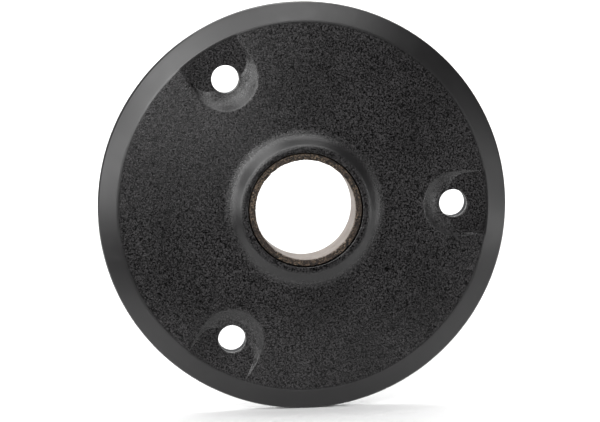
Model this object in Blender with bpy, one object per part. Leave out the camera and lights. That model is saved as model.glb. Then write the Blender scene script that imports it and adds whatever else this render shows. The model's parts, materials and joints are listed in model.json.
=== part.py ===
"""Round bearing end plate with a pressed-in bush, standing upright on its rim.

The bore's axis runs along Y and the front faces -Y. The origin is on that axis, half way
through the plate's overall depth. Depths are in millimetres behind the hub's front land, and
radii are in millimetres from the axis, until they are put into the scene in metres.
"""

import math

import bmesh
import bpy
from mathutils import Vector

MM = 0.001
GAP = 0.3                      # clearance between neighbouring pieces

# Overall sizes
PLATE_RADIUS = 52.0
TOTAL_DEPTH = 14.0             # hub land to the spigot's end
BACK_PLANE = 10.0              # depth of the face that seats on the housing

# Front: hub, cone and bevelled rim
LAND_EDGE = 15.9
HUB_FOOT = 18.9
HUB_HEIGHT = 1.9
CONE_EDGE = 46.6
CONE_DEPTH = 5.3
BEVEL_START = (47.6, 5.5)
BEVEL_END = (51.2, 6.85)
RIM_ROUNDING = 0.8

# Bush, its seat and the ring that holds it
BORE_RADIUS = 12.7             # 1 inch shaft
BUSH_RADIUS = 14.15
BUSH_LENGTH = 12.7
BUSH_RECESS = 0.25
FLANGE_RADIUS = 16.5
FLANGE_THICKNESS = 1.4
SEAT_RADIUS = BUSH_RADIUS + GAP
SPIGOT_RADIUS = 19.6
COUNTERBORE_RADIUS = 17.0
RING_INNER = 13.6
RING_BAND = 15.4
RING_THICKNESS = 0.7
RING_TABS = 10

# Screw holes and their pockets
HOLE_COUNT = 3
HOLE_CIRCLE = 38.1             # 3 inch bolt circle
HOLE_RADIUS = 3.5              # clears a 1/4 inch or M6 screw
LIP_THICKNESS = 0.9
SLEEVE_RADIUS = 4.4
POCKET_FLOOR = 5.4
POCKET_HALF_WIDTH = 7.3
POCKET_END_SHIFT = 1.0
POCKET_FLARE = math.radians(4.8)
POCKET_FILLET = 1.6
WALL_SLOPE = math.radians(45)
BOSS_RADIUS = 7.4

# Hollow back
SKIRT_INNER = 47.4
GROOVE_INNER = 48.7
GROOVE_OUTER = 50.8
GROOVE_DEPTH = 1.3
CAVITY_OUTER_DEPTH = 8.0
CAVITY_INNER_DEPTH = 6.3
RIB_COUNT = 12
RIB_THICKNESS = 1.6
RIB_RELIEF = 0.5               # the ribs stop this far short of the back plane
RING_RIB_RADIUS = 25.6

PLATE_STEPS = 96
RING_STEPS = 72
SMALL_STEPS = 24


def point(radius, depth, angle=0.0, sideways=0.0):
    """A place given by radius, depth and angle from +X, as a scene vector."""
    x = radius * math.cos(angle) - sideways * math.sin(angle)
    z = radius * math.sin(angle) + sideways * math.cos(angle)
    return Vector((x, depth - TOTAL_DEPTH / 2, z)) * MM


def add_object(name, bm, colour, roughness, metallic=0.0):
    """Turns a bmesh into a smooth-shaded object with its own material."""
    bmesh.ops.recalc_face_normals(bm, faces=bm.faces)
    mesh = bpy.data.meshes.new(name)
    bm.to_mesh(mesh)
    bm.free()
    mesh.shade_smooth()
    mesh.set_sharp_from_angle(angle=math.radians(30))
    obj = bpy.data.objects.new(name, mesh)
    bpy.context.scene.collection.objects.link(obj)
    material = bpy.data.materials.new(name)
    material.use_nodes = True
    shader = material.node_tree.nodes["Principled BSDF"]
    shader.inputs["Base Color"].default_value = (*colour, 1.0)
    shader.inputs["Roughness"].default_value = roughness
    shader.inputs["Metallic"].default_value = metallic
    mesh.materials.append(material)
    return obj


def turned(profile, steps=RING_STEPS):
    """A closed (radius, depth) outline spun once round the axis."""
    bm = bmesh.new()
    verts = [bm.verts.new(point(radius, depth)) for radius, depth in profile]
    edges = [bm.edges.new((verts[i - 1], verts[i])) for i in range(len(verts))]
    bmesh.ops.spin(
        bm, geom=verts + edges, cent=(0, 0, 0), axis=(0, 1, 0), dvec=(0, 0, 0),
        angle=math.tau, steps=steps, use_merge=True,
    )
    return bm


def lofted(bm, loops):
    """A closed skin through loops of equal length, capped at both ends."""
    rings = [[bm.verts.new(p) for p in loop] for loop in loops]
    for lower, upper in zip(rings, rings[1:]):
        for i in range(len(lower)):
            bm.faces.new((lower[i - 1], lower[i], upper[i], upper[i - 1]))
    bm.faces.new(rings[0])
    bm.faces.new(rings[-1])


def arc(centre, radius, start, end, count):
    """Points of a (radius, depth) arc; angles run from the outward direction."""
    angles = [start + (end - start) * i / count for i in range(count + 1)]
    return [(centre[0] + radius * math.cos(a), centre[1] + radius * math.sin(a)) for a in angles]


def circle(radius, centre_radius, depth, angle, steps=SMALL_STEPS):
    """A circle about a hole's centre, as scene points."""
    turns = [math.tau * i / steps for i in range(steps)]
    return [
        point(centre_radius + radius * math.cos(t), depth, angle, radius * math.sin(t))
        for t in turns
    ]


def hole_angles():
    return [math.tau * i / HOLE_COUNT for i in range(HOLE_COUNT)]


def plate_profile():
    """Outline of the plate's section: front, rim, hollow back, spigot and bush seat."""
    corner = (PLATE_RADIUS - RIM_ROUNDING, BEVEL_END[1] + RIM_ROUNDING)
    front = [
        (SEAT_RADIUS, 0.3),
        (SEAT_RADIUS + 0.25, 0.0),
        (LAND_EDGE, 0.0),
        (LAND_EDGE + 0.45, 0.25),
        (HUB_FOOT - 0.5, HUB_HEIGHT - 0.35),
        (HUB_FOOT + 0.3, HUB_HEIGHT),
        (CONE_EDGE, CONE_DEPTH),
        BEVEL_START,
    ]
    rim = arc(corner, RIM_ROUNDING, math.radians(-72), 0.0, 3)
    back = [
        (PLATE_RADIUS, BACK_PLANE - 0.3),
        (PLATE_RADIUS - 0.3, BACK_PLANE),
        (GROOVE_OUTER, BACK_PLANE),
        (GROOVE_OUTER, BACK_PLANE - GROOVE_DEPTH),
        (GROOVE_INNER, BACK_PLANE - GROOVE_DEPTH),
        (GROOVE_INNER, BACK_PLANE),
        (SKIRT_INNER, BACK_PLANE),
        (SKIRT_INNER - 0.2, CAVITY_OUTER_DEPTH),
        (SPIGOT_RADIUS + 0.8, CAVITY_INNER_DEPTH),
        (SPIGOT_RADIUS + 0.2, CAVITY_INNER_DEPTH + 0.5),
    ]
    spigot = [
        (SPIGOT_RADIUS, TOTAL_DEPTH - 0.5),
        (SPIGOT_RADIUS - 0.5, TOTAL_DEPTH),
        (COUNTERBORE_RADIUS + 0.3, TOTAL_DEPTH),
        (COUNTERBORE_RADIUS, TOTAL_DEPTH - 0.3),
        (COUNTERBORE_RADIUS, BUSH_RECESS + BUSH_LENGTH - FLANGE_THICKNESS - GAP),
        (SEAT_RADIUS, BUSH_RECESS + BUSH_LENGTH - FLANGE_THICKNESS - GAP),
    ]
    return front + rim + back + spigot


def pocket_outline(grow, depth, angle):
    """U-shaped outline round a screw hole, open towards the rim, grown outward by a distance."""
    half = POCKET_HALF_WIDTH + grow
    centre = HOLE_CIRCLE + POCKET_END_SHIFT
    reach = PLATE_RADIUS + 4 - centre
    spread = reach * math.tan(POCKET_FLARE)
    quarter = math.pi / 2
    turns = [quarter + math.pi * i / 16 for i in range(17)]
    end = [(half * math.cos(t), half * math.sin(t)) for t in turns]
    flat = [(reach, -half - spread), (reach, half + spread)]
    return [point(centre + u, depth, angle, v) for u, v in end + flat]


def pocket_cutter():
    """Three cutters whose walls slope up from a fillet at the pocket's floor."""
    bm = bmesh.new()
    steps = 3
    run = POCKET_FILLET * math.tan(WALL_SLOPE / 2)
    levels = []
    for i in range(steps + 1):
        turn = WALL_SLOPE * i / steps
        grow = POCKET_FILLET * math.sin(turn) - run
        levels.append((grow, POCKET_FLOOR - POCKET_FILLET * (1 - math.cos(turn))))
    top = POCKET_FLOOR + 2.0
    levels.append((top / math.tan(WALL_SLOPE), POCKET_FLOOR - top))
    for angle in hole_angles():
        lofted(bm, [pocket_outline(grow, depth, angle) for grow, depth in levels])
    return bm


def pad_backing():
    """Solid backing behind each pocket, so that the floor keeps its thickness."""
    bm = bmesh.new()
    for angle in hole_angles():
        centre = HOLE_CIRCLE + POCKET_END_SHIFT
        half = POCKET_HALF_WIDTH + 2.2
        reach = SKIRT_INNER + 0.6 - centre
        turns = [math.pi / 2 + math.pi * i / 16 for i in range(17)]
        outline = [(half * math.cos(t), half * math.sin(t)) for t in turns]
        outline += [(reach, -half), (reach, half)]
        depths = (POCKET_FLOOR + 0.5, CAVITY_OUTER_DEPTH + 0.3)
        lofted(bm, [[point(centre + u, d, angle, v) for u, v in outline] for d in depths])
    return bm


def bosses():
    bm = bmesh.new()
    for angle in hole_angles():
        depths = (POCKET_FLOOR + 0.7, BACK_PLANE)
        lofted(bm, [circle(BOSS_RADIUS, HOLE_CIRCLE, d, angle) for d in depths])
    return bm


def ribs():
    """Straight ribs from the hub's wall to the skirt, along the hollow of the back."""
    bm = bmesh.new()
    inner = (SPIGOT_RADIUS - 1.0, SKIRT_INNER + 0.6)
    fronts = (CAVITY_INNER_DEPTH - 0.8, CAVITY_OUTER_DEPTH - 0.8)
    back = BACK_PLANE - RIB_RELIEF
    for i in range(RIB_COUNT):
        angle = math.tau * i / RIB_COUNT
        sides = []
        for side in (-RIB_THICKNESS / 2, RIB_THICKNESS / 2):
            sides.append([
                point(inner[0], fronts[0], angle, side),
                point(inner[1], fronts[1], angle, side),
                point(inner[1], back, angle, side),
                point(inner[0], back, angle, side),
            ])
        lofted(bm, sides)
    return bm


def ring_rib():
    half = RIB_THICKNESS / 2
    front = CAVITY_INNER_DEPTH - 0.6
    back = BACK_PLANE - RIB_RELIEF - 0.2
    return turned([
        (RING_RIB_RADIUS - half, front),
        (RING_RIB_RADIUS + half, front),
        (RING_RIB_RADIUS + half, back),
        (RING_RIB_RADIUS - half, back),
    ], PLATE_STEPS)


def hole_cutter():
    """Stepped holes: a thin lip in front, then the seat of the compression sleeve."""
    bm = bmesh.new()
    seat = SLEEVE_RADIUS + GAP
    step = POCKET_FLOOR + LIP_THICKNESS
    for angle in hole_angles():
        sections = (
            (HOLE_RADIUS + 0.5, POCKET_FLOOR - 4.0),
            (HOLE_RADIUS + 0.2, POCKET_FLOOR),
            (HOLE_RADIUS, POCKET_FLOOR + 0.2),
            (HOLE_RADIUS, step),
            (seat, step),
            (seat, BACK_PLANE + 1.0),
        )
        lofted(bm, [circle(r, HOLE_CIRCLE, d, angle) for r, d in sections])
    return bm


def helper(name, bm):
    """A hidden tool for a Boolean."""
    obj = add_object(name, bm, (0.5, 0.5, 0.5), 0.5)
    obj.hide_render = True
    obj.display_type = "WIRE"
    return obj


def make_end_plate():
    plate = add_object("end_plate", turned(plate_profile(), PLATE_STEPS), (0.018, 0.018, 0.019), 0.6)
    steps = (
        ("UNION", helper("rib_tool", ribs())),
        ("UNION", helper("ring_rib_tool", ring_rib())),
        ("UNION", helper("pad_tool", pad_backing())),
        ("UNION", helper("boss_tool", bosses())),
        ("DIFFERENCE", helper("pocket_tool", pocket_cutter())),
        ("DIFFERENCE", helper("hole_tool", hole_cutter())),
    )
    for operation, tool in steps:
        modifier = plate.modifiers.new(tool.name, "BOOLEAN")
        modifier.operation = operation
        modifier.object = tool


def make_bush():
    """Plain sintered bush with chamfered ends and a flange at the back."""
    front = BUSH_RECESS
    back = BUSH_RECESS + BUSH_LENGTH
    chamfer = 0.35
    profile = [
        (BORE_RADIUS, front + chamfer),
        (BORE_RADIUS + chamfer, front),
        (BUSH_RADIUS - 0.25, front),
        (BUSH_RADIUS, front + 0.25),
        (BUSH_RADIUS, back - FLANGE_THICKNESS),
        (FLANGE_RADIUS, back - FLANGE_THICKNESS),
        (FLANGE_RADIUS, back - 0.25),
        (FLANGE_RADIUS - 0.25, back),
        (BORE_RADIUS + chamfer, back),
        (BORE_RADIUS, back - chamfer),
    ]
    add_object("bearing_bush", turned(profile), (0.33, 0.24, 0.16), 0.55, 1.0)


def make_retaining_ring():
    """Push-in ring with outward tabs that grip the counterbore behind the bush."""
    start = BUSH_RECESS + BUSH_LENGTH + 0.15
    inner, outer = [], []
    per_tab = 8
    total = RING_TABS * per_tab
    for i in range(total):
        angle = math.tau * i / total
        on_tab = i % per_tab < per_tab / 2
        inner.append((RING_INNER, angle))
        outer.append((COUNTERBORE_RADIUS - GAP if on_tab else RING_BAND, angle))
    bm = bmesh.new()
    layers = []
    for depth in (start, start + RING_THICKNESS):
        layers.append([[bm.verts.new(point(r, depth, a)) for r, a in path] for path in (inner, outer)])
    (inner_front, outer_front), (inner_back, outer_back) = layers
    for i in range(total):
        j = i - 1
        bm.faces.new((inner_front[j], inner_front[i], outer_front[i], outer_front[j]))
        bm.faces.new((inner_back[j], outer_back[j], outer_back[i], inner_back[i]))
        bm.faces.new((outer_front[j], outer_front[i], outer_back[i], outer_back[j]))
        bm.faces.new((inner_front[j], inner_back[j], inner_back[i], inner_front[i]))
    add_object("bush_retaining_ring", bm, (0.55, 0.56, 0.58), 0.35, 1.0)


def make_sleeves():
    """Steel sleeves that carry the clamping load through the plate."""
    front = POCKET_FLOOR + LIP_THICKNESS + 0.15
    back = BACK_PLANE
    edge = 0.25
    sections = (
        (HOLE_RADIUS, front + edge),
        (HOLE_RADIUS + edge, front),
        (SLEEVE_RADIUS - edge, front),
        (SLEEVE_RADIUS, front + edge),
        (SLEEVE_RADIUS, back - edge),
        (SLEEVE_RADIUS - edge, back),
        (HOLE_RADIUS + edge, back),
        (HOLE_RADIUS, back - edge),
    )
    for number, angle in enumerate(hole_angles(), start=1):
        bm = bmesh.new()
        rings = []
        for radius, depth in sections:
            rings.append([bm.verts.new(p) for p in circle(radius, HOLE_CIRCLE, depth, angle)])
        for k, ring in enumerate(rings):
            previous = rings[k - 1]
            for i in range(len(ring)):
                bm.faces.new((previous[i - 1], previous[i], ring[i], ring[i - 1]))
        add_object(f"compression_sleeve_{number}", bm, (0.6, 0.6, 0.61), 0.3, 1.0)


def make_gasket():
    """Rubber ring in the groove of the rim's back face, standing a little proud."""
    inner = GROOVE_INNER + GAP
    outer = GROOVE_OUTER - GAP
    middle = (inner + outer) / 2
    crown = (outer - inner) / 2
    floor = BACK_PLANE - GROOVE_DEPTH + 0.15
    top = BACK_PLANE + 0.35
    profile = [(inner, floor), (outer, floor)]
    profile += arc((middle, top - crown), crown, 0.0, math.pi, 4)
    add_object("rim_gasket", turned(profile), (0.02, 0.02, 0.02), 0.8)


def main():
    for obj in list(bpy.data.objects):
        bpy.data.objects.remove(obj)
    make_end_plate()
    make_bush()
    make_retaining_ring()
    make_sleeves()
    make_gasket()


main()
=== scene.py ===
"""Looks of the bearing end plate: fine meshes, materials, studio and camera round the CAD frame.

The bore's axis runs along Y and the front faces -Y. As in the CAD model, a section is given by
radii in millimetres from the axis and by depths in millimetres behind the hub's front land.
"""

import json
import math

import bmesh
import bpy
import numpy as np
from mathutils import Matrix, Vector


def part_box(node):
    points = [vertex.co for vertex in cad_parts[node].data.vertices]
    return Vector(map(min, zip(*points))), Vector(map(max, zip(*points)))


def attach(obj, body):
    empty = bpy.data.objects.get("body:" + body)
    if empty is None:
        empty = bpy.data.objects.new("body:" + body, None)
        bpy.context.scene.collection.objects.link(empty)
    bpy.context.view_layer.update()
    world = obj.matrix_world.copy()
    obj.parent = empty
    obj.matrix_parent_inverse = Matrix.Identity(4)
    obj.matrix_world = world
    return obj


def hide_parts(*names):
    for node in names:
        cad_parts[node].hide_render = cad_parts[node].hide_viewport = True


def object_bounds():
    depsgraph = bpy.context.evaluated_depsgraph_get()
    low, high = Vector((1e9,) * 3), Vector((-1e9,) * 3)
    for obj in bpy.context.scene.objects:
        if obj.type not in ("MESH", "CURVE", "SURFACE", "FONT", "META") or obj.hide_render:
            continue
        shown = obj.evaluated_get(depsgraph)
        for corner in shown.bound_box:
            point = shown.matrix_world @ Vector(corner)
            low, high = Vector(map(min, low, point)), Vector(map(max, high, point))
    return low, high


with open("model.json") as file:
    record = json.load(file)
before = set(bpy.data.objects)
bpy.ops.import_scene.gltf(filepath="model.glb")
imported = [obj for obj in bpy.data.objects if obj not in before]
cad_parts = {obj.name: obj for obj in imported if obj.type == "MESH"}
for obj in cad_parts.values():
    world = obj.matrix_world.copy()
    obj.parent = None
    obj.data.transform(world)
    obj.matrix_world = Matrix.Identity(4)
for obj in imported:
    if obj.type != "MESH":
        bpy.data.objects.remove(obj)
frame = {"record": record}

cad_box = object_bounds()

MM = 0.001
GAP = 0.3

# Taken from the frame
PLATE_RADIUS = cad_box[1].x / MM
FRONT = cad_box[0].y / MM
TOTAL_DEPTH = cad_box[1].y / MM - FRONT
MOUNT_Y = {mount["name"]: mount["pos_m"][1] for mount in frame["record"]["mounts"]}
BACK_PLANE = MOUNT_Y["mounting_face"] / MM - FRONT
POCKET_FLOOR = MOUNT_Y["screw_seat_1"] / MM - FRONT

# Front
LAND_EDGE = 15.9
LAND_FILLET = 3.4
HUB_FOOT = 18.9
FOOT_FILLET = 7.5
HUB_HEIGHT = 1.9
CONE_EDGE = 46.6
CONE_DEPTH = 5.32
BEVEL_START = 47.7
BEVEL_END = (51.2, 6.85)
KNEE_FILLET = 3.0
RIM_FILLET = 0.4

# Bush and its seat
BORE_RADIUS = 12.7
BORE_LIP = 12.52
BUSH_RADIUS = 14.15
BUSH_RECESS = 0.25
BUSH_END = 12.95
FLANGE_RADIUS = 16.5
FLANGE_THICKNESS = 1.4
SEAT_RADIUS = BUSH_RADIUS + GAP
SPIGOT_RADIUS = 19.6
COUNTERBORE_RADIUS = 17.0
RING_INNER = 13.6
RING_BAND = 15.4
RING_TABS = 10

# Holes and pockets
HOLE_COUNT = 3
HOLE_CIRCLE = 38.1
HOLE_RADIUS = 3.5
LIP_THICKNESS = 0.9
SLEEVE_RADIUS = 4.4
POCKET_HALF_WIDTH = 8.25
POCKET_SHIFT = 0.45
EDGE_SOFTNESS = 0.2
RAMP_WIDTH = 4.9
RAMP_POWER = 1.5
SIDE_POWER = 1.1
PAD_HALF_WIDTH = 9.5
BOSS_RADIUS = 7.4

# Rows and steps of the plate's mesh
POCKETS_FROM = 26.0
FINE_FROM = 27.0
FINE_ROWS = 92
FINE_HALF_ANGLE = math.radians(18.5)
FINE_STEPS = 125
WIDE_STEPS = 40

# Back
SKIRT_INNER = 47.4
GROOVE_INNER = 48.7
GROOVE_OUTER = 50.8
GROOVE_DEPTH = 1.3
CAVITY_OUTER_DEPTH = 8.0
CAVITY_INNER_DEPTH = 6.3
RIB_COUNT = 12
RIB_THICKNESS = 1.6
RIB_RELIEF = 0.5
RING_RIB_RADIUS = 25.6
PIN_RADIUS = 1.7
PIN_CIRCLES = (31.0, 40.0)

# Slopes that set how glossy the plastic is, measured from a flat front
GENTLE = math.radians(10)
STEEP = math.radians(20)

# Plastic: grain cells per metre, their relief in metres, colours with painted shade and painted sheen, and
# the gloss of each slot
GRAIN_SCALE = 2500.0
GRAIN_RELIEF = 0.000025
# Near-black colour of the creases between pebbles: painted shade where the creases would lie in shadow
CREASE_SHADE = (0.0005, 0.0005, 0.0005, 1)
# Colour of the pebble tops, lighter than the polished plastic: painted sheen of the grain
PEBBLE_TOP_SHEEN = (0.052, 0.0498, 0.0512, 1)
POLISHED_DARK = (0.011, 0.0106, 0.0110, 1)
POLISHED_LIGHT = (0.0145, 0.0140, 0.0144, 1)
POLISHED_GLOSS = 0.5
WORN_GLOSS = 0.34
GRAINED_GLOSS = 0.2

# Studio and camera, in metres
LIGHT_DISTANCE = 0.6
FLOOR_HALF_WIDTH = 2.4
FLOOR_FRONT = -0.06
SWEEP_START = 0.9
SWEEP_RADIUS = 0.7
BACKDROP_TOP = 2.6
CAMERA_PLACE = (-0.0441, -0.500 + FRONT * MM, 0.0589)
CAMERA_YAW = math.radians(4.87)
CAMERA_PITCH = math.radians(6.71)
CAMERA_ROLL = math.radians(-1.26)
SENSOR_WIDTH = 36.0
LENS = 121.14


# ---------------------------------------------------------------- geometry helpers

def point(radius, depth, angle=0.0, sideways=0.0):
    x = radius * math.cos(angle) - sideways * math.sin(angle)
    z = radius * math.sin(angle) + sideways * math.cos(angle)
    return Vector((x, depth + FRONT, z)) * MM


def hole_angles():
    return [math.tau * i / HOLE_COUNT for i in range(HOLE_COUNT)]


def smoothstep(low, high, x):
    t = np.clip((x - low) / (high - low), 0.0, 1.0)
    return t * t * (3 - 2 * t)


def arc(centre, radius, start, end, count):
    """Points of an arc in the section, angles in degrees from the outward direction."""
    out = []
    for i in range(count + 1):
        a = math.radians(start + (end - start) * i / count)
        out.append((centre[0] + radius * math.cos(a), centre[1] + radius * math.sin(a)))
    return out


def line(start, end, count):
    """Points between two ends, without the ends."""
    return [
        (start[0] + (end[0] - start[0]) * i / count, start[1] + (end[1] - start[1]) * i / count)
        for i in range(1, count)
    ]


def rounded(before, corner, after, radius, count=8):
    """The corner of a section replaced by an arc that touches both of its sides."""
    b, c, a = (Vector(p) for p in (before, corner, after))
    to_b, to_a = (b - c).normalized(), (a - c).normalized()
    half = math.acos(max(-1, min(1, to_b.dot(to_a)))) / 2
    if half > math.radians(89):
        return [corner]
    back = radius / math.tan(half)
    start, end = c + to_b * back, c + to_a * back
    centre = c + (to_b + to_a).normalized() * (radius / math.sin(half))
    out = []
    for i in range(count + 1):
        mix = start.lerp(end, i / count) - centre
        out.append(tuple(centre + mix.normalized() * radius))
    return out


def section(corners):
    """A closed section from (radius, depth, rounding radius) corners."""
    out = []
    n = len(corners)
    for i, (r, d, fillet) in enumerate(corners):
        before, after = corners[i - 1][:2], corners[(i + 1) % n][:2]
        if fillet:
            out += rounded(before, (r, d), after, fillet)
        else:
            out.append((r, d))
    return out


def lathe(rows, angles, reshape=None):
    """Vertices and quads of a closed section swept round the axis.

    reshape(radii, depths, angles) may return other radii and depths for the swept points.
    """
    radius = np.array([r for r, _ in rows])
    depth = np.array([d for _, d in rows])
    r = np.repeat(radius[:, None], len(angles), 1)
    d = np.repeat(depth[:, None], len(angles), 1)
    t = np.repeat(np.array(angles)[None, :], len(rows), 0)
    if reshape is not None:
        r, d = reshape(r, d, t)
    verts = np.stack([r * np.cos(t), d + FRONT, r * np.sin(t)], -1).reshape(-1, 3) * MM
    n, m = len(rows), len(angles)
    i = np.arange(n)[:, None]
    j = np.arange(m)[None, :]
    ahead, beside = (i + 1) % n, (j + 1) % m
    faces = np.stack(
        np.broadcast_arrays(i * m + j, i * m + beside, ahead * m + beside, ahead * m + j), -1
    ).reshape(-1, 4)
    return verts, faces


def mesh_object(name, verts, faces, sharp=40):
    mesh = bpy.data.meshes.new(name)
    mesh.from_pydata([tuple(v) for v in verts], [], [tuple(f) for f in faces])
    return finish_mesh(name, mesh, sharp)


def finish_mesh(name, mesh, sharp=40):
    bm = bmesh.new()
    bm.from_mesh(mesh)
    bmesh.ops.recalc_face_normals(bm, faces=bm.faces)
    bm.to_mesh(mesh)
    bm.free()
    mesh.shade_smooth()
    mesh.set_sharp_from_angle(angle=math.radians(sharp))
    obj = bpy.data.objects.new(name, mesh)
    bpy.context.scene.collection.objects.link(obj)
    return obj


def even_angles(count):
    return [math.tau * i / count for i in range(count)]


def prism(loops, soften=0.0):
    """A closed solid through loops of points, its sharp edges rounded."""
    bm = bmesh.new()
    rings = [[bm.verts.new(p) for p in loop] for loop in loops]
    for lower, upper in zip(rings, rings[1:]):
        for i in range(len(lower)):
            bm.faces.new((lower[i - 1], lower[i], upper[i], upper[i - 1]))
    ends = [bm.faces.new(rings[0]), bm.faces.new(rings[-1])]
    bmesh.ops.recalc_face_normals(bm, faces=bm.faces)
    if soften:
        edges = list(ends[1].edges)
        bmesh.ops.bevel(
            bm, geom=edges, offset=soften * MM, segments=3, profile=0.5, affect="EDGES",
        )
    return bm


def joined(name, parts):
    """One mesh object from several bmeshes."""
    mesh = bpy.data.meshes.new(name)
    whole = bmesh.new()
    for bm in parts:
        piece = bpy.data.meshes.new("part")
        bm.to_mesh(piece)
        bm.free()
        whole.from_mesh(piece)
        bpy.data.meshes.remove(piece)
    whole.to_mesh(mesh)
    whole.free()
    return finish_mesh(name, mesh)


def cut(target, tool, operation):
    """Applies a Boolean and throws the tool away."""
    modifier = target.modifiers.new("cut", "BOOLEAN")
    modifier.operation = operation
    modifier.object = tool
    graph = bpy.context.evaluated_depsgraph_get()
    made = bpy.data.meshes.new_from_object(target.evaluated_get(graph))
    target.modifiers.clear()
    old = target.data
    target.data = made
    bpy.data.meshes.remove(old)
    bpy.data.objects.remove(tool)


# ---------------------------------------------------------------- materials

class Nodes:
    """Small helper that adds and links shader nodes."""

    def __init__(self, name):
        self.material = bpy.data.materials.new(name)
        self.material.use_nodes = True
        self.tree = self.material.node_tree
        self.shader = self.tree.nodes["Principled BSDF"]

    def add(self, kind, inputs=(), **settings):
        node = self.tree.nodes.new(kind)
        for key, value in settings.items():
            setattr(node, key, value)
        for socket, value in dict(inputs).items():
            self.feed(node, socket, value)
        return node

    def feed(self, node, socket, value):
        if isinstance(value, bpy.types.NodeSocket):
            self.tree.links.new(value, node.inputs[socket])
        else:
            node.inputs[socket].default_value = value

    def math(self, operation, first, second):
        return self.add("ShaderNodeMath", {0: first, 1: second}, operation=operation).outputs[0]

    def ramp(self, value, low, high, out_low, out_high):
        node = self.add(
            "ShaderNodeMapRange",
            {"Value": value, "From Min": low, "From Max": high, "To Min": out_low, "To Max": out_high},
        )
        return node.outputs["Result"]

    def mix(self, factor, first, second):
        node = self.add("ShaderNodeMix", data_type="RGBA")
        self.feed(node, 0, factor)
        self.feed(node, 6, first)
        self.feed(node, 7, second)
        return node.outputs[2]

    def noise(self, where, scale, detail=2.0, roughness=0.5):
        node = self.add(
            "ShaderNodeTexNoise",
            {"Vector": where, "Scale": scale, "Detail": detail, "Roughness": roughness},
        )
        return node.outputs["Fac"]

    def attribute(self, name):
        return self.add("ShaderNodeAttribute", attribute_name=name).outputs["Fac"]

    def object_place(self):
        return self.add("ShaderNodeTexCoord").outputs["Object"]

    def bump(self, height, distance, strength=1.0, after=None):
        node = self.add("ShaderNodeBump", {"Strength": strength, "Distance": distance, "Height": height})
        if after is not None:
            self.feed(node, "Normal", after)
        return node.outputs["Normal"]

    def shade(self, **inputs):
        for key, value in inputs.items():
            self.feed(self.shader, key.replace("_", " "), value)


def plastic(name, specular):
    """Black moulded plastic: pebble grain where the attribute 'grain' says, satin elsewhere. The grain's
    colour holds painted shade in the creases and painted sheen on the pebble tops, over a random tone per
    pebble and broad random patches.
    """
    n = Nodes(name)
    place = n.object_place()
    grain = n.attribute("grain")
    warp = n.add("ShaderNodeTexNoise", {"Vector": place, "Scale": 700.0, "Detail": 1.0})
    offset = n.add(
        "ShaderNodeVectorMath", {0: warp.outputs["Color"], 1: (0.5, 0.5, 0.5)}, operation="SUBTRACT"
    )
    shift = n.add(
        "ShaderNodeVectorMath", {0: offset.outputs[0], "Scale": 0.0005}, operation="SCALE"
    )
    bent = n.add("ShaderNodeVectorMath", {0: place, 1: shift.outputs[0]}, operation="ADD").outputs[0]
    cell = n.add(
        "ShaderNodeTexVoronoi", {"Vector": bent, "Scale": GRAIN_SCALE, "Randomness": 0.9}, feature="F1"
    )
    dome = n.ramp(cell.outputs["Distance"], 0.2, 0.62, 1.0, 0.0)
    tone = n.add("ShaderNodeSeparateColor", {"Color": cell.outputs["Color"]})
    fine = n.noise(place, 5200.0, 2.0, 0.6)
    broad = n.noise(place, 45.0, 3.0, 0.55)
    height = n.math("ADD", dome, n.math("MULTIPLY", tone.outputs[1], 0.5))
    grained = n.math("MULTIPLY", n.math("ADD", height, n.math("MULTIPLY", fine, 0.3)), grain)
    normal = n.bump(grained, GRAIN_RELIEF, 0.9)
    smear = n.bump(n.noise(place, 900.0, 2.0), 0.00001, 0.25, normal)
    pebble = n.ramp(n.noise(bent, GRAIN_SCALE, 1.0, 0.5), 0.38, 0.62, 0.0, 1.0)
    # Painted shade: each pebble's colour darkens from its centre towards its edges, where the creases
    # would be shaded
    top = n.math("MULTIPLY", pebble, n.ramp(dome, 0.0, 1.0, 0.55, 1.0))
    polished = n.mix(n.ramp(broad, 0.3, 0.7, 0.0, 1.0), POLISHED_DARK, POLISHED_LIGHT)
    # Random pebble tone carrying the painted crease shade, scaled by broad random patches
    worn = n.math("MULTIPLY", top, n.ramp(broad, 0.35, 0.65, 0.75, 1.2))
    # Pebble colour runs from the painted crease shade to the painted sheen on the tops
    pebble_tone_shade_and_sheen = n.mix(worn, CREASE_SHADE, PEBBLE_TOP_SHEEN)
    colour = n.mix(grain, polished, pebble_tone_shade_and_sheen)
    rough_grain = n.ramp(tone.outputs[2], 0.0, 1.0, 0.22, 0.38)
    rough_smooth = n.ramp(n.noise(place, 300.0, 4.0, 0.6), 0.3, 0.7, 0.29, 0.35)
    rough = n.add("ShaderNodeMix", data_type="FLOAT")
    n.feed(rough, 0, grain)
    n.feed(rough, 2, rough_smooth)
    n.feed(rough, 3, rough_grain)
    n.shade(
        Base_Color=colour, Roughness=rough.outputs[0], Normal=smear, Specular_IOR_Level=specular
    )
    return n.material


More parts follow.
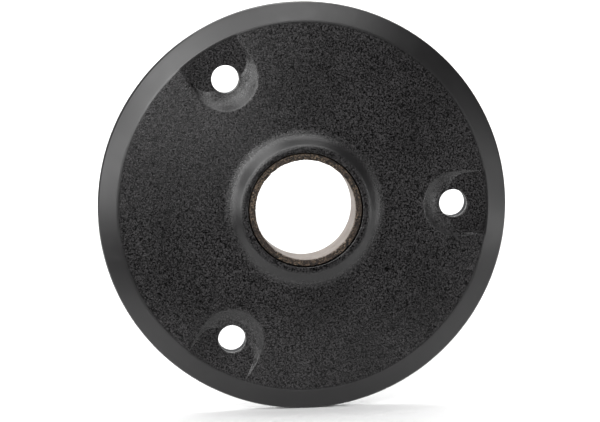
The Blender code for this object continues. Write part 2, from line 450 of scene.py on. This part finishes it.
def sintered_bronze():
    """Granular, oil-stained sintered bronze; the sized bore is closed up and paler."""
    n = Nodes("sintered_bronze")
    place = n.object_place()
    face = n.attribute("face")
    grit = n.add("ShaderNodeTexVoronoi", {"Vector": place, "Scale": 3700.0}, feature="F1")
    pick = n.add("ShaderNodeSeparateColor", {"Color": grit.outputs["Color"]})
    speck = n.noise(place, 3000.0, 2.0, 0.6)
    stain = n.noise(place, 260.0, 3.0, 0.6)
    dark, gold, pale = (0.005, 0.004, 0.003, 1), (0.2, 0.145, 0.1, 1), (0.22, 0.185, 0.16, 1)
    tone = n.mix(n.ramp(pick.outputs[0], 0.5, 1.0, 0.0, 1.0), dark, gold)
    stained = n.mix(n.ramp(stain, 0.42, 0.62, 0.0, 0.7), tone, (0.03, 0.02, 0.016, 1))
    bore = n.mix(n.ramp(stain, 0.3, 0.7, 0.0, 1.0), pale, (0.33, 0.28, 0.245, 1))
    colour = n.mix(face, bore, stained)
    height = n.math("ADD", grit.outputs["Distance"], speck)
    normal = n.bump(n.math("MULTIPLY", height, n.ramp(face, 0.0, 1.0, 0.12, 1.0)), 0.00009, 0.9)
    n.shade(
        Base_Color=colour, Metallic=n.ramp(face, 0.0, 1.0, 0.15, 0.45),
        Roughness=n.ramp(speck, 0.3, 0.7, 0.45, 0.7), Normal=normal,
    )
    return n.material


def steel(name, bright, scratch_scale):
    """Plated or stamped steel with fine marks and a little dulling."""
    n = Nodes(name)
    place = n.object_place()
    stretch = n.add("ShaderNodeMapping", {"Vector": place, "Scale": (1.0, 14.0, 1.0)})
    marks = n.noise(stretch.outputs[0], scratch_scale, 4.0, 0.6)
    film = n.noise(place, 420.0, 3.0, 0.5)
    low = tuple(c * 0.8 for c in bright[:3]) + (1,)
    n.shade(
        Base_Color=n.mix(film, low, bright), Metallic=1.0, Specular_Tint=(0.2, 0.2, 0.2, 1),
        Roughness=n.ramp(marks, 0.3, 0.7, 0.38, 0.55),
        Normal=n.bump(marks, 0.00001, 0.5),
    )
    return n.material


def rubber():
    """Matt black rubber with a faint bloom."""
    n = Nodes("gasket_rubber")
    place = n.object_place()
    bloom = n.noise(place, 500.0, 4.0, 0.65)
    fine = n.noise(place, 5200.0, 2.0, 0.5)
    fresh, bloomed = (0.012, 0.012, 0.012, 1), (0.03, 0.03, 0.029, 1)
    n.shade(
        Base_Color=n.mix(n.ramp(bloom, 0.4, 0.75, 0.0, 1.0), fresh, bloomed),
        Roughness=n.ramp(bloom, 0.3, 0.7, 0.72, 0.9), Normal=n.bump(fine, 0.00002, 0.6),
    )
    return n.material


def give(obj, material):
    obj.data.materials.clear()
    obj.data.materials.append(material)


# ---------------------------------------------------------------- end plate

def face_depth(radius):
    """Depth of the plain cone at a radius."""
    slope = (CONE_DEPTH - HUB_HEIGHT) / (CONE_EDGE - HUB_FOOT)
    return HUB_HEIGHT + (radius - HUB_FOOT) * slope


def pocket_place(radius, angle):
    """Place in the nearest pocket's own directions: outward from the hole, and sideways."""
    step = math.tau / HOLE_COUNT
    turn = (angle + step / 2) % step - step / 2
    return radius * np.cos(turn) - HOLE_CIRCLE, radius * np.sin(turn)


def pocket_inset(radius, angle):
    """How far inside the pocket's edge a place is, and how far it lies towards the hub end."""
    out, side = pocket_place(radius, angle)
    out = out - POCKET_SHIFT
    reach = np.hypot(out, side)
    hub_end = np.clip(-out / np.maximum(reach, 1e-6), -1, 1)
    inset = POCKET_HALF_WIDTH - np.where(out < 0, reach, np.abs(side))
    return inset, hub_end


def ramp_width(wall, hub_end):
    """Width of the slope between the face and the pocket's floor: narrow beside, wide at the hub end."""
    side = 0.25 + 0.6 * wall
    return side + (RAMP_WIDTH - side) * smoothstep(-0.3, 0.65, hub_end)


def pocket_depth(radius, depth, angle):
    """Depths of the front with the pockets sunk into the cone."""
    inset, hub_end = pocket_inset(radius, angle)
    wall = np.maximum(POCKET_FLOOR - depth, 0.0)
    width = ramp_width(wall, hub_end)
    soft = (np.sqrt(inset**2 + EDGE_SOFTNESS**2) + inset) / 2
    power = SIDE_POWER + (RAMP_POWER - SIDE_POWER) * np.maximum(hub_end, 0)
    rest = np.clip(1 - soft / width, 0, 1) ** power
    return POCKET_FLOOR - wall * rest


def front_rows():
    """Section of the plate's front from the bush's seat to the cone's edge."""
    rows = section([
        (SEAT_RADIUS, 1.2, 0),
        (SEAT_RADIUS, 0.0, 0.22),
        (LAND_EDGE, 0.0, LAND_FILLET),
        (HUB_FOOT, HUB_HEIGHT, FOOT_FILLET),
        (CONE_EDGE, CONE_DEPTH, 0),
    ])[:-1]
    start = HUB_FOOT + 1.8
    rows += line((start, face_depth(start)), (FINE_FROM, face_depth(FINE_FROM)), 8)
    for i in range(FINE_ROWS + 1):
        radius = FINE_FROM + (CONE_EDGE - FINE_FROM) * i / FINE_ROWS
        rows.append((radius, face_depth(radius)))
    return rows


def plate_rows():
    """The plate's whole closed section."""
    rows = front_rows()
    knee = (CONE_EDGE + BEVEL_START) / 2
    edge = section([
        (*rows[-1], 0),
        (knee, face_depth(knee), KNEE_FILLET),
        (BEVEL_END[0] + 0.5, BEVEL_END[1] + 0.18, RIM_FILLET),
        (PLATE_RADIUS, BEVEL_END[1] + 0.7, RIM_FILLET),
        (PLATE_RADIUS, BACK_PLANE, 0.3),
        (GROOVE_OUTER, BACK_PLANE, 0.12),
        (GROOVE_OUTER, BACK_PLANE - GROOVE_DEPTH, 0.12),
        (GROOVE_INNER, BACK_PLANE - GROOVE_DEPTH, 0.12),
        (GROOVE_INNER, BACK_PLANE, 0.12),
        (SKIRT_INNER, BACK_PLANE, 0.15),
        (SKIRT_INNER - 0.2, CAVITY_OUTER_DEPTH, 0.4),
        (SPIGOT_RADIUS + 0.25, CAVITY_INNER_DEPTH, 0.5),
        (SPIGOT_RADIUS, TOTAL_DEPTH, 0.45),
        (COUNTERBORE_RADIUS, TOTAL_DEPTH, 0.25),
        (COUNTERBORE_RADIUS, BUSH_END - FLANGE_THICKNESS - GAP, 0.15),
        (SEAT_RADIUS, BUSH_END - FLANGE_THICKNESS - GAP, 0),
    ])[1:]
    return rows + edge


def plate_angles():
    """Fine steps across each pocket and wide ones between them."""
    half = FINE_HALF_ANGLE
    angles = []
    step = math.tau / HOLE_COUNT
    for centre in hole_angles():
        angles += list(np.linspace(centre - half, centre + half, FINE_STEPS, endpoint=False))
        angles += list(np.linspace(centre + half, centre + step - half, WIDE_STEPS, endpoint=False))
    return angles


def plate_surface(r, d, t):
    """Sinks the pockets into every row of the front that lies above their floor."""
    front = (d < POCKET_FLOOR) & (r > POCKETS_FROM) & (r < PLATE_RADIUS - 1)
    sunk = pocket_depth(r, d, t)
    return r, np.where(front, np.maximum(sunk, d), d)


def rib_tool():
    parts = []
    inner, outer = SPIGOT_RADIUS - 1.0, SKIRT_INNER + 0.6
    fronts = (CAVITY_INNER_DEPTH - 0.8, CAVITY_OUTER_DEPTH - 0.8)
    back = BACK_PLANE - RIB_RELIEF
    for i in range(RIB_COUNT):
        angle = math.tau * i / RIB_COUNT
        loops = []
        for thickness, depths in ((RIB_THICKNESS * 1.12, fronts), (RIB_THICKNESS * 0.9, (back, back))):
            half = thickness / 2
            loops.append([
                point(inner, depths[0], angle, -half),
                point(outer, depths[1], angle, -half),
                point(outer, depths[1], angle, half),
                point(inner, depths[0], angle, half),
            ])
        parts.append(prism(loops, 0.3))
    return joined("rib_tool", parts)


def circle(radius, depth, angle, steps):
    turns = [math.tau * i / steps for i in range(steps)]
    return [point(HOLE_CIRCLE + radius * math.cos(t), depth, angle, radius * math.sin(t)) for t in turns]


def pad_tool():
    parts = []
    for angle in hole_angles():
        centre = HOLE_CIRCLE + 1.0
        reach = SKIRT_INNER + 0.6 - centre
        turns = [math.pi / 2 + math.pi * i / 32 for i in range(33)]
        outline = [(PAD_HALF_WIDTH * math.cos(t), PAD_HALF_WIDTH * math.sin(t)) for t in turns]
        outline += [(reach, -PAD_HALF_WIDTH), (reach, PAD_HALF_WIDTH)]
        depths = (POCKET_FLOOR + 1.0, CAVITY_OUTER_DEPTH + 0.3)
        loops = [[point(centre + u, d, angle, v) for u, v in outline] for d in depths]
        parts.append(prism(loops, 0.25))
    return joined("pad_tool", parts)


def boss_tool():
    parts = []
    for angle in hole_angles():
        loops = [
            circle(BOSS_RADIUS + 0.1, POCKET_FLOOR + 0.75, angle, 64),
            circle(BOSS_RADIUS, BACK_PLANE, angle, 64),
        ]
        parts.append(prism(loops, 0.3))
    return joined("boss_tool", parts)


def ring_rib_tool():
    half = RIB_THICKNESS / 2
    rows = section([
        (RING_RIB_RADIUS - half, CAVITY_INNER_DEPTH - 0.5, 0),
        (RING_RIB_RADIUS + half, CAVITY_INNER_DEPTH - 0.5, 0),
        (RING_RIB_RADIUS + half, BACK_PLANE - RIB_RELIEF - 0.25, 0.3),
        (RING_RIB_RADIUS - half, BACK_PLANE - RIB_RELIEF - 0.25, 0.3),
    ])
    verts, faces = lathe(rows, even_angles(180))
    return mesh_object("ring_rib_tool", verts, faces)


def hole_tool():
    """Stepped holes whose mouth flares with a small radius."""
    parts = []
    seat = SLEEVE_RADIUS + GAP
    step = POCKET_FLOOR + LIP_THICKNESS
    mouth = 0.3
    rows = [(HOLE_RADIUS + mouth * 1.2, POCKET_FLOOR - 3.0)]
    for i in range(6):
        a = math.radians(90 * i / 5)
        radius = HOLE_RADIUS + mouth * (1 - math.sin(a))
        rows.append((radius, POCKET_FLOOR + mouth * (1 - math.cos(a))))
    rows += [(HOLE_RADIUS, step), (seat, step), (seat, BACK_PLANE - 0.2)]
    rows += [(seat + 0.25, BACK_PLANE + 0.05), (seat + 0.25, BACK_PLANE + 1)]
    for angle in hole_angles():
        parts.append(prism([circle(r, d, angle, 72) for r, d in rows]))
    return joined("hole_tool", parts)


def pin_mark_tool():
    """Shallow ejector marks in the floor of the hollow back."""
    parts = []
    for i in range(RIB_COUNT):
        angle = math.tau * (i + 0.5) / RIB_COUNT
        radius = PIN_CIRCLES[i % 2]
        slope = (CAVITY_OUTER_DEPTH - CAVITY_INNER_DEPTH) / (SKIRT_INNER - SPIGOT_RADIUS)
        depth = CAVITY_INNER_DEPTH + (radius - SPIGOT_RADIUS) * slope
        turns = [math.tau * k / 32 for k in range(32)]
        loops = []
        for level in (depth - 0.15, depth + 2.0):
            loops.append([
                point(radius + PIN_RADIUS * math.cos(t), level, angle, PIN_RADIUS * math.sin(t))
                for t in turns
            ])
        parts.append(prism(loops))
    return joined("pin_mark_tool", parts)


def grain_at(co):
    """1 where the mould is grained, 0 where it is polished, for vertices in metres."""
    x, y, z = (co / MM).T
    depth = y - FRONT
    radius = np.hypot(x, z)
    angle = np.arctan2(z, x)
    inset, hub_end = pocket_inset(radius, angle)
    wall = np.clip(POCKET_FLOOR - face_depth(radius), 0, 3)
    in_pocket = (inset > 0) & (radius > POCKETS_FROM) & (radius < CONE_EDGE + 0.5)
    on_wall = 1 - smoothstep(0.15, 0.6, inset / ramp_width(wall, hub_end))
    grain = smoothstep(HUB_FOOT - 2.2, HUB_FOOT + 1.2, radius)
    on_land = 1 - smoothstep(LAND_EDGE - 0.6, LAND_EDGE + 1.0, radius)
    grain = np.where(radius < LAND_EDGE + 1.0, on_land, grain)
    grain = grain * (1 - smoothstep(CONE_EDGE - 0.5, CONE_EDGE + 0.6, radius))
    grain = np.where(in_pocket, grain * (1 - 0.5 * on_wall), grain)
    behind = depth > POCKET_FLOOR + 0.7
    return np.where(behind, 0.0, grain)


def dress_plate(plate):
    """Paints the grain on the vertices and gives each face plastic of the right gloss."""
    mesh = plate.data
    co = np.zeros(len(mesh.vertices) * 3)
    mesh.vertices.foreach_get("co", co)
    grain = mesh.attributes.new("grain", "FLOAT", "POINT")
    grain.data.foreach_set("value", grain_at(co.reshape(-1, 3)).astype(np.float32))
    give(plate, plastic("polished_plastic", POLISHED_GLOSS))
    mesh.materials.append(plastic("worn_plastic", WORN_GLOSS))
    mesh.materials.append(plastic("grained_plastic", GRAINED_GLOSS))
    for polygon in mesh.polygons:
        levels = [grain.data[v].value for v in polygon.vertices]
        level = sum(levels) / len(levels)
        slope = math.acos(min(1.0, max(-1.0, -polygon.normal.y)))
        if level < 0.35 or slope > STEEP:
            polygon.material_index = 0
        else:
            polygon.material_index = 1 if slope > GENTLE else 2


def make_plate():
    verts, faces = lathe(plate_rows(), plate_angles(), plate_surface)
    plate = mesh_object("plate_moulding", verts, faces)
    for tool, operation in (
        (rib_tool(), "UNION"), (ring_rib_tool(), "UNION"), (pad_tool(), "UNION"),
        (boss_tool(), "UNION"), (pin_mark_tool(), "DIFFERENCE"), (hole_tool(), "DIFFERENCE"),
    ):
        cut(plate, tool, operation)
    plate.data.shade_smooth()
    plate.data.set_sharp_from_angle(angle=math.radians(38))
    dress_plate(plate)
    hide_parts("end_plate")
    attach(plate, "root")


# ---------------------------------------------------------------- small pieces

def make_bush():
    """Sintered bush with a granular end face, a worn inner edge and a smooth bore."""
    back = BUSH_END
    flange = back - FLANGE_THICKNESS
    rows = [(BORE_RADIUS, back - 0.4)]
    rows += line((BORE_RADIUS, back - 0.4), (BORE_RADIUS, BUSH_RECESS + 1.6), 10)
    rows += [(BORE_RADIUS, BUSH_RECESS + 1.6), (BORE_LIP + 0.07, BUSH_RECESS + 0.9)]
    rows += [(BORE_LIP + 0.01, BUSH_RECESS + 0.5), (BORE_LIP, BUSH_RECESS + 0.3)]
    rows += [(BORE_LIP + 0.05, BUSH_RECESS + 0.16)]
    rows += [(BORE_LIP + 0.12 + 0.13 * i, BUSH_RECESS + 0.06 * max(0, 1 - i)) for i in range(11)]
    rows += section([
        (BUSH_RADIUS - 0.12, BUSH_RECESS, 0),
        (BUSH_RADIUS, BUSH_RECESS + 0.15, 0),
        (BUSH_RADIUS, flange, 0.15),
        (FLANGE_RADIUS, flange, 0.2),
        (FLANGE_RADIUS, back, 0.3),
        (BORE_RADIUS, back, 0.3),
    ])
    rng = np.random.default_rng(7)

    def surface(r, d, t):
        at_front = (d < BUSH_RECESS + 0.31) & (r < BUSH_RADIUS - 0.05)
        rough = rng.normal(0, 1, r.shape)
        smooth = (rough + np.roll(rough, 1, 1) + np.roll(rough, 1, 0)) / 1.73
        d = np.where(at_front, d + np.abs(smooth) * 0.05, d)
        chips = np.abs(smooth + np.roll(smooth, 2, 1) + np.roll(smooth, 3, 1))
        inner = (d < BUSH_RECESS + 0.8) & (r < BORE_RADIUS + 0.35)
        r = np.where(inner, r + np.maximum(chips - 0.8, 0) * 0.2, r)
        return r, d

    verts, faces = lathe(rows, even_angles(420), surface)
    bush = mesh_object("sintered_bush", verts, faces, 50)
    co = verts / MM
    radius = np.hypot(co[:, 0], co[:, 2])
    face = bush.data.attributes.new("face", "FLOAT", "POINT")
    at_front = (co[:, 1] < FRONT + BUSH_RECESS + 0.35).astype(np.float32)
    face.data.foreach_set("value", smoothstep(BORE_LIP + 0.02, BORE_LIP + 0.14, radius) * at_front)
    give(bush, sintered_bronze())
    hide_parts("bearing_bush")
    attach(bush, "root")


def make_sleeves(material):
    low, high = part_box("compression_sleeve_1")
    front, back = low.y / MM - FRONT, high.y / MM - FRONT
    corners = section([
        (HOLE_RADIUS, front, 0.2), (SLEEVE_RADIUS, front, 0.2),
        (SLEEVE_RADIUS, back, 0.2), (HOLE_RADIUS, back, 0.25),
    ])
    steps = 72
    for number, angle in enumerate(hole_angles(), start=1):
        verts = np.array([p for r, d in corners for p in circle(r, d, angle, steps)])
        n = len(corners)
        faces = []
        for i in range(n):
            for j in range(steps):
                k = (j + 1) % steps
                ahead = (i + 1) % n
                faces.append((i * steps + j, i * steps + k, ahead * steps + k, ahead * steps + j))
        sleeve = mesh_object(f"steel_sleeve_{number}", verts, faces)
        give(sleeve, material)
        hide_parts(f"compression_sleeve_{number}")
        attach(sleeve, "root")


def make_ring(material):
    """Stamped push-in ring whose tabs reach out to just short of the counterbore."""
    low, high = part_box("bush_retaining_ring")
    front, back = low.y / MM - FRONT, high.y / MM - FRONT
    tip = COUNTERBORE_RADIUS - GAP
    steps = RING_TABS * 36
    across = 9
    grid = []
    for layer in (front, back):
        for i in range(across + 1):
            ring = []
            for j in range(steps):
                phase = (j % 36) / 36
                tab = smoothstep(0.0, 0.07, phase) * (1 - smoothstep(0.43, 0.5, phase))
                outer = RING_BAND + (tip - RING_BAND) * tab
                radius = RING_INNER + (outer - RING_INNER) * i / across
                ring.append(point(radius, layer, math.tau * j / steps))
            grid.append(ring)
    order = list(range(across + 1)) + list(range(2 * across + 1, across, -1))
    verts = [p for k in order for p in grid[k]]
    n = len(order)
    faces = []
    for i in range(n):
        for j in range(steps):
            k, ahead = (j + 1) % steps, (i + 1) % n
            faces.append((i * steps + j, i * steps + k, ahead * steps + k, ahead * steps + j))
    ring = mesh_object("stamped_ring", verts, faces, 35)
    bevel = ring.modifiers.new("edges", "BEVEL")
    bevel.width = 0.00012
    bevel.segments = 2
    bevel.limit_method = "ANGLE"
    bevel.angle_limit = math.radians(50)
    give(ring, material)
    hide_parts("bush_retaining_ring")
    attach(ring, "root")


def make_gasket(material):
    low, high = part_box("rim_gasket")
    floor, top = low.y / MM - FRONT, high.y / MM - FRONT
    outer = high.x / MM
    inner = GROOVE_INNER + GAP
    crown = (outer - inner) / 2
    rows = [(inner + 0.1, floor), (outer - 0.1, floor), (outer, floor + 0.1)]
    rows += arc(((inner + outer) / 2, top - crown), crown, 0, 180, 14)
    rows += [(inner, floor + 0.1)]
    verts, faces = lathe(rows, even_angles(360))
    gasket = mesh_object("rubber_gasket", verts, faces)
    give(gasket, material)
    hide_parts("rim_gasket")
    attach(gasket, "root")


# ---------------------------------------------------------------- studio and camera

def make_stage():
    """Pale floor that sweeps up into a backdrop."""
    floor = cad_box[0].z
    profile = [(FLOOR_FRONT, 0.0), (SWEEP_START, 0.0)]
    for degrees in range(6, 91, 6):
        a = math.radians(degrees)
        profile.append((SWEEP_START + SWEEP_RADIUS * math.sin(a), SWEEP_RADIUS * (1 - math.cos(a))))
    profile += [(SWEEP_START + SWEEP_RADIUS, BACKDROP_TOP)]
    verts = [(x, y, floor + z) for y, z in profile for x in (-FLOOR_HALF_WIDTH, FLOOR_HALF_WIDTH)]
    faces = [(2 * i, 2 * i + 1, 2 * i + 3, 2 * i + 2) for i in range(len(profile) - 1)]
    mesh = bpy.data.meshes.new("studio_sweep")
    mesh.from_pydata(verts, [], faces)
    mesh.shade_smooth()
    sweep = bpy.data.objects.new("studio_sweep", mesh)
    bpy.context.scene.collection.objects.link(sweep)
    n = Nodes("pale_floor")
    n.shade(Base_Color=(0.9, 0.9, 0.9, 1), Roughness=0.9)
    give(sweep, n.material)


def panel(name, place, target, size, power, spread=180):
    """A soft rectangular light that no camera sees."""
    data = bpy.data.lights.new(name, "AREA")
    data.shape = "RECTANGLE"
    data.size, data.size_y = size
    data.energy = power
    data.spread = math.radians(spread)
    light = bpy.data.objects.new(name, data)
    light.location = place
    light.visible_camera = False
    light.rotation_euler = (Vector(target) - Vector(place)).to_track_quat("-Z", "Y").to_euler()
    bpy.context.scene.collection.objects.link(light)


def softbox(name, left, up, size, power):
    """A panel aimed at the plate from so many degrees left of the axis and above the horizon."""
    turn, rise = math.radians(left), math.radians(up)
    level = math.cos(rise)
    place = Vector((-math.sin(turn) * level, -math.cos(turn) * level, math.sin(rise)))
    panel(name, place * LIGHT_DISTANCE, (0, 0, 0), size, power)


def make_lights():
    softbox("key_inner", 18, 14, (0.14, 0.14), 0.48)
    softbox("key", 27, 20, (0.24, 0.20), 1.0)
    softbox("key_side", 49, 4, (0.30, 0.18), 1.0)
    softbox("key_high", 15, 37, (0.34, 0.20), 0.72)
    softbox("key_top", -13, 46, (0.26, 0.20), 0.68)
    softbox("high_left", 48, 44, (0.34, 0.34), 1.3)
    softbox("fill_right", -52, 1, (0.26, 0.09), 0.2)
    softbox("fill_front", -40, 8, (0.20, 0.15), 0.1)
    panel("low_right", (0.15, -0.10, -0.035), (0.045, 0, -0.01), (0.08, 0.025), 0.03)
    panel("floor_front", (0, 0.02, 0.40), (0, 0.021, 0), (1.0, 0.12), 0.14, 30)
    panel("floor_near", (0, 0.12, 0.45), (0, 0.121, 0), (1.2, 0.25), 0.23, 36)
    panel("floor_middle", (0, 0.40, 0.42), (0, 0.401, 0), (1.6, 0.7), 1.36, 50)
    panel("backdrop", (0, 0.8, 1.4), (0, 1.35, 0.1), (2.0, 0.5), 26.0, 130)


def make_world():
    """White surroundings that the camera sees and that light nothing."""
    world = bpy.data.worlds.new("studio")
    bpy.context.scene.world = world
    world.use_nodes = True
    background = world.node_tree.nodes["Background"]
    background.inputs["Color"].default_value = (1, 1, 1, 1)
    background.inputs["Strength"].default_value = 1.0
    world.cycles_visibility.diffuse = False
    world.cycles_visibility.glossy = False
    world.cycles_visibility.transmission = False


def make_camera():
    """Long lens, a little to the left of the plate's axis and above it."""
    level = math.cos(CAMERA_PITCH)
    forward = Vector((math.sin(CAMERA_YAW) * level, math.cos(CAMERA_YAW) * level, -math.sin(CAMERA_PITCH)))
    data = bpy.data.cameras.new("camera")
    data.sensor_width = SENSOR_WIDTH
    data.lens = LENS
    data.clip_start, data.clip_end = 0.01, 20.0
    camera = bpy.data.objects.new("camera", data)
    turn = forward.to_track_quat("-Z", "Y").to_matrix() @ Matrix.Rotation(CAMERA_ROLL, 3, "Z")
    camera.matrix_world = Matrix.Translation(CAMERA_PLACE) @ turn.to_4x4()
    bpy.context.scene.collection.objects.link(camera)
    bpy.context.scene.camera = camera


def main():
    make_plate()
    make_bush()
    make_sleeves(steel("zinc_plate", (0.2, 0.2, 0.205, 1), 900.0))
    make_ring(steel("spring_steel", (0.42, 0.42, 0.44, 1), 1500.0))
    make_gasket(rubber())
    make_stage()
    make_lights()
    make_world()
    make_camera()
    bpy.context.scene.view_settings.view_transform = "Standard"


main()
